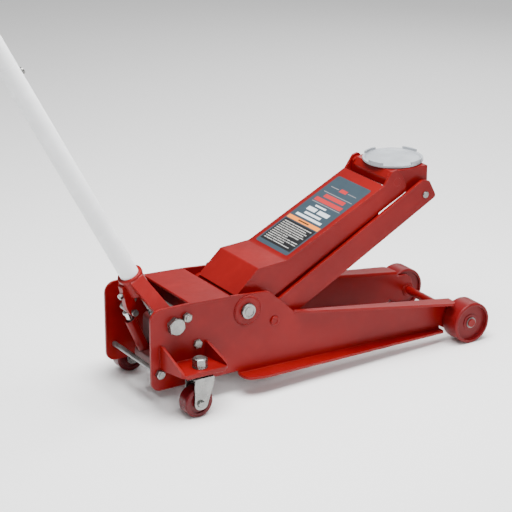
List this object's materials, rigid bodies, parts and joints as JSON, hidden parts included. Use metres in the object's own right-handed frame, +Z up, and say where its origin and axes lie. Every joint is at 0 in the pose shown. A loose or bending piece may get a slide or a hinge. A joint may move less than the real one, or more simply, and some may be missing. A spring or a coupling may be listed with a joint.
{
  "type": "trolley jack",
  "caption": "Wheeled hydraulic floor jack with a parallelogram lift arm, dished turning saddle, pump handle in a forked socket, swivel casters and sloping side plates.",
  "frame": {"origin": "on the floor under the middle of the jack's bounding box", "axes": "+X along the chassis to the lifting end, +Y to the left side, +Z up"},
  "size_m": [1.412, 0.356, 1.2525],
  "materials": {
    "red_enamel": "gloss",
    "red_wheel": "gloss",
    "maroon_wheel": "gloss",
    "zinc": "satin",
    "dark_steel": "satin",
    "bright_steel": "polished",
    "pale_enamel": "gloss",
    "saddle_grey": "satin",
    "black_rubber": "matt",
    "bush_bronze": "satin"
  },
  "bodies": {
    "chassis": {"side_plate_left": "red_enamel", "side_plate_right": "red_enamel", "deck_cover": "red_enamel", "caster_bracket_left": "red_enamel", "caster_bracket_right": "red_enamel", "rear_tie_rod": "zinc", "cross_rod": "zinc", "rod_nuts": "zinc", "front_axle": "red_enamel", "axle_spacers": "dark_steel", "axle_circlips": "dark_steel", "main_pivot_pin": "zinc", "pivot_boss_rings": "red_enamel", "link_studs": "red_enamel", "handle_pivot_bolts": "zinc", "unit_bolts": "zinc", "pump_block": "red_enamel", "ram_cylinder": "bright_steel", "reservoir_tube": "red_enamel", "gland_nut": "red_enamel", "pump_barrel": "red_enamel", "filler_plug": "zinc", "caster_stems": "zinc", "caster_stem_nuts": "zinc", "caster_races": "dark_steel"},
    "lift_arm": {"lift_arm": "red_enamel", "arm_pivot_sleeve": "red_enamel", "crank_lugs": "red_enamel", "crank_pin": "dark_steel", "head_pin": "red_enamel", "arm_anchor_bolt": "zinc"},
    "ram": {"ram_rod": "bright_steel", "ram_head": "dark_steel"},
    "radius_rods": {"radius_rod_left": "red_enamel", "radius_rod_right": "red_enamel", "link_pin": "zinc"},
    "saddle_head": {"saddle_bracket": "red_enamel"},
    "saddle": {"saddle": "saddle_grey", "saddle_stem": "dark_steel", "saddle_clip": "dark_steel"},
    "handle_socket": {"handle_socket": "red_enamel", "socket_bushes": "bush_bronze", "roller_pin": "dark_steel", "set_bolt": "zinc"},
    "press_roller": {"press_roller": "dark_steel"},
    "handle": {"handle_lower_tube": "pale_enamel", "handle_upper_tube": "pale_enamel", "handle_grip": "black_rubber", "handle_joint_screw": "zinc", "release_knuckle": "dark_steel"},
    "pump_plunger": {"pump_plunger": "bright_steel"},
    "release_spindle": {"release_spindle": "dark_steel"},
    "front_wheel_left": {"front_wheel_left": "red_wheel"},
    "front_wheel_right": {"front_wheel_right": "red_wheel"},
    "caster_left": {"caster_fork_left": "zinc", "caster_axle_left": "zinc"},
    "caster_right": {"caster_fork_right": "zinc", "caster_axle_right": "zinc"},
    "caster_wheel_left": {"caster_wheel_left": "maroon_wheel"},
    "caster_wheel_right": {"caster_wheel_right": "maroon_wheel"}
  },
  "joints": [
    {"name": "arm_lift", "type": "hinge", "parent": "chassis", "child": "lift_arm", "pos_m": [0.05884, 0, 0.1961], "axis": [0, -1, 0], "range_deg": [-39, 20]},
    {"name": "radius_rods_swing", "type": "hinge", "parent": "chassis", "child": "radius_rods", "pos_m": [0.13184, 0, 0.1552], "axis": [0, -1, 0], "range_deg": [-39.5, 20.5]},
    {"name": "head_level", "type": "hinge", "parent": "lift_arm", "child": "saddle_head", "pos_m": [0.48414, 0, 0.41187], "axis": [0, -1, 0], "range_deg": [-20.5, 39.5]},
    {"name": "saddle_turn", "type": "hinge", "parent": "saddle_head", "child": "saddle", "pos_m": [0.52794, 0, 0.436], "axis": [0, 0, 1], "continuous": true},
    {"name": "ram_slide", "type": "slide", "parent": "chassis", "child": "ram", "axis": [1, 0, 0], "range_m": [-0.0445, 0.0235]},
    {"name": "handle_pump", "type": "hinge", "parent": "chassis", "child": "handle_socket", "pos_m": [-0.12746, 0, 0.2018], "axis": [0, -1, 0], "range_deg": [-10, 26]},
    {"name": "plunger_slide", "type": "slide", "parent": "chassis", "child": "pump_plunger", "axis": [0.3987, 0, -0.9171], "range_m": [-0.0085, 0.0215]},
    {"name": "roller_spin", "type": "hinge", "parent": "handle_socket", "child": "press_roller", "pos_m": [-0.17742, 0.024, 0.21245], "axis": [0, 1, 0], "continuous": true},
    {"name": "handle_twist", "type": "hinge", "parent": "handle_socket", "child": "handle", "pos_m": [-0.12746, 0, 0.2018], "axis": [-0.4726, 0, 0.8813], "range_deg": [-90, 90]},
    {"name": "release_turn", "type": "hinge", "parent": "chassis", "child": "release_spindle", "pos_m": [-0.12746, 0, 0.2018], "axis": [-0.4726, 0, 0.8813], "range_deg": [-91, 91]},
    {"name": "front_wheel_left_spin", "type": "hinge", "parent": "chassis", "child": "front_wheel_left", "pos_m": [0.65604, 0.133, 0.05], "axis": [0, 1, 0], "continuous": true},
    {"name": "caster_left_swivel", "type": "hinge", "parent": "chassis", "child": "caster_left", "pos_m": [-0.09196, 0.15, 0.094], "axis": [0, 0, 1], "continuous": true},
    {"name": "caster_wheel_left_spin", "type": "hinge", "parent": "caster_left", "child": "caster_wheel_left", "pos_m": [-0.10396, 0.15, 0.035], "axis": [0, 1, 0], "continuous": true},
    {"name": "front_wheel_right_spin", "type": "hinge", "parent": "chassis", "child": "front_wheel_right", "pos_m": [0.65604, -0.133, 0.05], "axis": [0, 1, 0], "continuous": true},
    {"name": "caster_right_swivel", "type": "hinge", "parent": "chassis", "child": "caster_right", "pos_m": [-0.09196, -0.15, 0.094], "axis": [0, 0, 1], "continuous": true},
    {"name": "caster_wheel_right_spin", "type": "hinge", "parent": "caster_right", "child": "caster_wheel_right", "pos_m": [-0.10396, -0.15, 0.035], "axis": [0, 1, 0], "continuous": true}
  ],
  "couplings": [
    {"joint": "radius_rods_swing", "follows": "arm_lift", "ratio": 1},
    {"joint": "head_level", "follows": "arm_lift", "ratio": -1},
    {"joint": "ram_slide", "follows": "arm_lift", "m_per_rad": 0.0638},
    {"joint": "plunger_slide", "follows": "handle_pump", "m_per_rad": 0.046},
    {"joint": "release_turn", "follows": "handle_twist", "ratio": 1}
  ]
}
